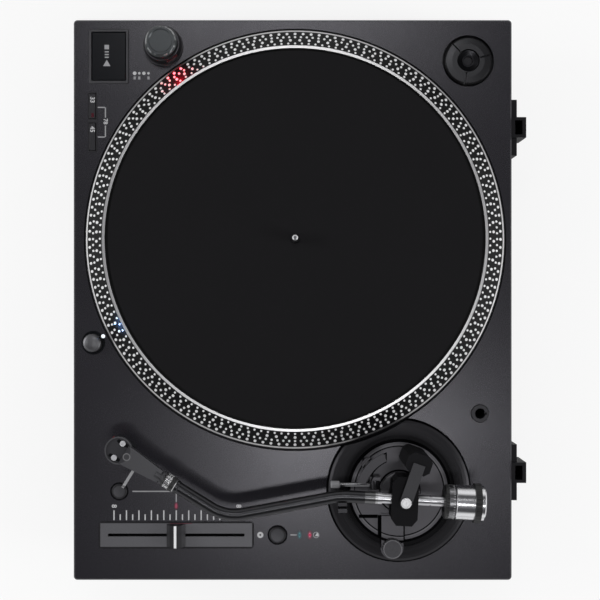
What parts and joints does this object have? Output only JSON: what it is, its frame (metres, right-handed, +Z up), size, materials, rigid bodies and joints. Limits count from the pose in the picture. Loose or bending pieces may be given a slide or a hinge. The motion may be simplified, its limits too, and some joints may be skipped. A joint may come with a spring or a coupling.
{
  "type": "turntable record player",
  "caption": "Direct-drive record player: dark casing, dotted platter with slipmat, S-shaped tonearm with counterweight, pitch slider and adjustable feet.",
  "frame": {"origin": "on the surface under the feet, below the middle of the whole outline", "axes": "+Z up; -Y towards the user, at the side with the start button and the pitch slider; +X to the user's right, the tonearm's side"},
  "size_m": [0.45, 0.364, 0.1651],
  "materials": {
    "casing_paint": "satin charcoal paint",
    "tub_rubber": "fine matte texture",
    "black_plastic": "satin",
    "gloss_black": "polished",
    "dark_metal": "satin black",
    "grey_panel": "satin",
    "platter_metal": "turned, dark",
    "felt": "felt",
    "steel": "polished",
    "screw_steel": "zinc plated",
    "brass": "bright",
    "magnet": "ground",
    "board_green": "solder mask",
    "red_lens": "clear red",
    "red_plastic": "moulded",
    "tube_metal": "anodised dark",
    "foot_rubber": "ribbed",
    "white_plastic": "satin",
    "wire_red": "insulation"
  },
  "bodies": {
    "casing": {"top_plate": "casing_paint", "base_tub": "tub_rubber", "casing_screws": "screw_steel", "motor_stator": "board_green", "motor_bearing": "brass", "circuit_boards": "board_green", "jack_panel": "black_plastic", "rear_terminals": "brass", "rear_sockets": "black_plastic", "hinge_sockets": "black_plastic", "start_stop_bezel": "gloss_black", "strobe_tower": "dark_metal", "lamp_lenses": "red_lens", "speed_bezel": "black_plastic", "target_collar": "gloss_black", "fader_panel": "grey_panel", "fader_unit": "screw_steel", "headshell_holder": "black_plastic", "arm_base": "dark_metal", "arm_disc": "dark_metal", "arm_frame": "dark_metal", "pivot_screw": "steel", "arm_rest": "black_plastic"},
    "platter": {"platter": "platter_metal", "slipmat": "felt", "spindle": "steel", "rotor_magnet": "magnet"},
    "yoke": {"arm_yoke": "dark_metal"},
    "arm": {"arm_tube": "tube_metal", "arm_stub": "steel", "gimbal_block": "dark_metal"},
    "weight_insert": {"weight_insert": "black_plastic"},
    "counterweight": {"counterweight": "steel"},
    "weight_dial": {"weight_dial": "black_plastic"},
    "lock_collar": {"lock_collar": "steel"},
    "headshell": {"headshell": "tube_metal", "finger_lift": "steel", "cartridge": "gloss_black", "stylus": "red_plastic", "cartridge_screws": "steel", "headshell_leads": "wire_red"},
    "cue_lever": {"cue_lever": "dark_metal"},
    "cue_lift": {"cue_lift": "dark_metal"},
    "anti_skate_dial": {"anti_skate_dial": "black_plastic"},
    "rest_clip": {"rest_clip": "steel"},
    "pitch_slider": {"pitch_slider": "black_plastic"},
    "start_stop_button": {"start_stop_button": "gloss_black"},
    "speed_button_33": {"speed_button_33": "black_plastic"},
    "speed_button_45": {"speed_button_45": "black_plastic"},
    "range_button": {"range_button": "black_plastic"},
    "quartz_button": {"quartz_button": "black_plastic"},
    "power_dial": {"power_dial": "platter_metal"},
    "target_light": {"target_light": "platter_metal"},
    "adapter_45": {"adapter_45": "platter_metal"},
    "foot_front_left": {"foot_front_left": "foot_rubber"},
    "foot_back_left": {"foot_back_left": "foot_rubber"},
    "foot_front_right": {"foot_front_right": "foot_rubber"},
    "foot_back_right": {"foot_back_right": "foot_rubber"},
    "preamp_switch": {"preamp_switch": "white_plastic"},
    "ground_nut": {"ground_nut": "brass"}
  },
  "joints": [
    {"name": "platter_spin", "type": "hinge", "parent": "casing", "child": "platter", "pos_m": [-0.0483, -0.0041, 0.1], "axis": [0, 0, 1], "continuous": true},
    {"name": "arm_swing", "type": "hinge", "parent": "casing", "child": "yoke", "pos_m": [0.15227, 0.07898, 0.1465], "axis": [0, 0, 1], "range_deg": [-44, 0]},
    {"name": "arm_lift", "type": "hinge", "parent": "yoke", "child": "arm", "pos_m": [0.15227, 0.07898, 0.1465], "axis": [-0.9986, 0.0523, 0], "range_deg": [0, 5]},
    {"name": "weight_slide", "type": "slide", "parent": "arm", "child": "weight_insert", "axis": [0.0523, 0.9986, 0], "range_m": [-0.0025, 0.005]},
    {"name": "weight_turn", "type": "hinge", "parent": "weight_insert", "child": "counterweight", "pos_m": [0.15463, 0.12392, 0.1465], "axis": [0.0523, 0.9986, 0], "range_deg": [-360, 720]},
    {"name": "weight_dial_turn", "type": "hinge", "parent": "counterweight", "child": "weight_dial", "pos_m": [0.15405, 0.11293, 0.1465], "axis": [0.0523, 0.9986, 0], "range_deg": [-180, 180]},
    {"name": "collar_turn", "type": "hinge", "parent": "arm", "child": "lock_collar", "pos_m": [0.13898, -0.10041, 0.1465], "axis": [-0.527, -0.8499, 0], "range_deg": [0, 60]},
    {"name": "headshell_pull", "type": "slide", "parent": "arm", "child": "headshell", "axis": [-0.527, -0.8499, 0], "range_m": [0, 0.03]},
    {"name": "cue_lever_turn", "type": "hinge", "parent": "casing", "child": "cue_lever", "pos_m": [0.14567, 0.05898, 0.116], "axis": [-1, 0, 0], "range_deg": [0, 38]},
    {"name": "cue_lift_rise", "type": "slide", "parent": "casing", "child": "cue_lift", "axis": [0, 0, 1], "range_m": [0, 0.005]},
    {"name": "anti_skate_turn", "type": "hinge", "parent": "casing", "child": "anti_skate_dial", "pos_m": [0.19717, 0.07308, 0.1115], "axis": [0, 0, 1], "range_deg": [-150, 150]},
    {"name": "rest_clip_turn", "type": "hinge", "parent": "casing", "child": "rest_clip", "pos_m": [0.15961, 0.03198, 0.1427], "axis": [0, 1, 0], "range_deg": [0, 60]},
    {"name": "pitch_slide", "type": "slide", "parent": "casing", "child": "pitch_slider", "axis": [0, 1, 0], "range_m": [-0.05, 0.05]},
    {"name": "start_stop_press", "type": "slide", "parent": "casing", "child": "start_stop_button", "axis": [0, 0, 1], "range_m": [-0.0015, 0], "stiffness_N_per_m": 400, "springref_m": 0.001},
    {"name": "speed_33_press", "type": "slide", "parent": "casing", "child": "speed_button_33", "axis": [0, 0, 1], "range_m": [-0.0015, 0], "stiffness_N_per_m": 300, "springref_m": 0.001},
    {"name": "speed_45_press", "type": "slide", "parent": "casing", "child": "speed_button_45", "axis": [0, 0, 1], "range_m": [-0.0015, 0], "stiffness_N_per_m": 300, "springref_m": 0.001},
    {"name": "range_press", "type": "slide", "parent": "casing", "child": "range_button", "axis": [0, 0, 1], "range_m": [-0.0015, 0], "stiffness_N_per_m": 300, "springref_m": 0.001},
    {"name": "quartz_press", "type": "slide", "parent": "casing", "child": "quartz_button", "axis": [0, 0, 1], "range_m": [-0.0015, 0], "stiffness_N_per_m": 300, "springref_m": 0.001},
    {"name": "power_dial_turn", "type": "hinge", "parent": "casing", "child": "power_dial", "pos_m": [-0.2037, -0.1099, 0.115], "axis": [0, 0, 1], "range_deg": [0, 45]},
    {"name": "target_light_press", "type": "slide", "parent": "casing", "child": "target_light", "axis": [0, 0, 1], "range_m": [-0.0075, 0]},
    {"name": "adapter_lift_off", "type": "slide", "parent": "casing", "child": "adapter_45", "axis": [0, 0, 1], "range_m": [0, 0.02]},
    {"name": "foot_front_left_adjust", "type": "slide", "parent": "casing", "child": "foot_front_left", "axis": [0, 0, 1], "range_m": [-0.006, 0]},
    {"name": "foot_back_left_adjust", "type": "slide", "parent": "casing", "child": "foot_back_left", "axis": [0, 0, 1], "range_m": [-0.006, 0]},
    {"name": "foot_front_right_adjust", "type": "slide", "parent": "casing", "child": "foot_front_right", "axis": [0, 0, 1], "range_m": [-0.006, 0]},
    {"name": "foot_back_right_adjust", "type": "slide", "parent": "casing", "child": "foot_back_right", "axis": [0, 0, 1], "range_m": [-0.006, 0]},
    {"name": "preamp_switch_slide", "type": "slide", "parent": "casing", "child": "preamp_switch", "axis": [1, 0, 0], "range_m": [0, 0.004]},
    {"name": "ground_nut_turn", "type": "hinge", "parent": "casing", "child": "ground_nut", "pos_m": [0.016, 0.1617, 0.0735], "axis": [0, 1, 0], "range_deg": [-360, 360]}
  ],
  "couplings": [
    {"joint": "weight_slide", "follows": "weight_turn", "m_per_rad": 0.00039789},
    {"joint": "cue_lever_turn", "follows": "arm_lift", "ratio": 7.6},
    {"joint": "cue_lift_rise", "follows": "arm_lift", "m_per_rad": 0.0572}
  ]
}
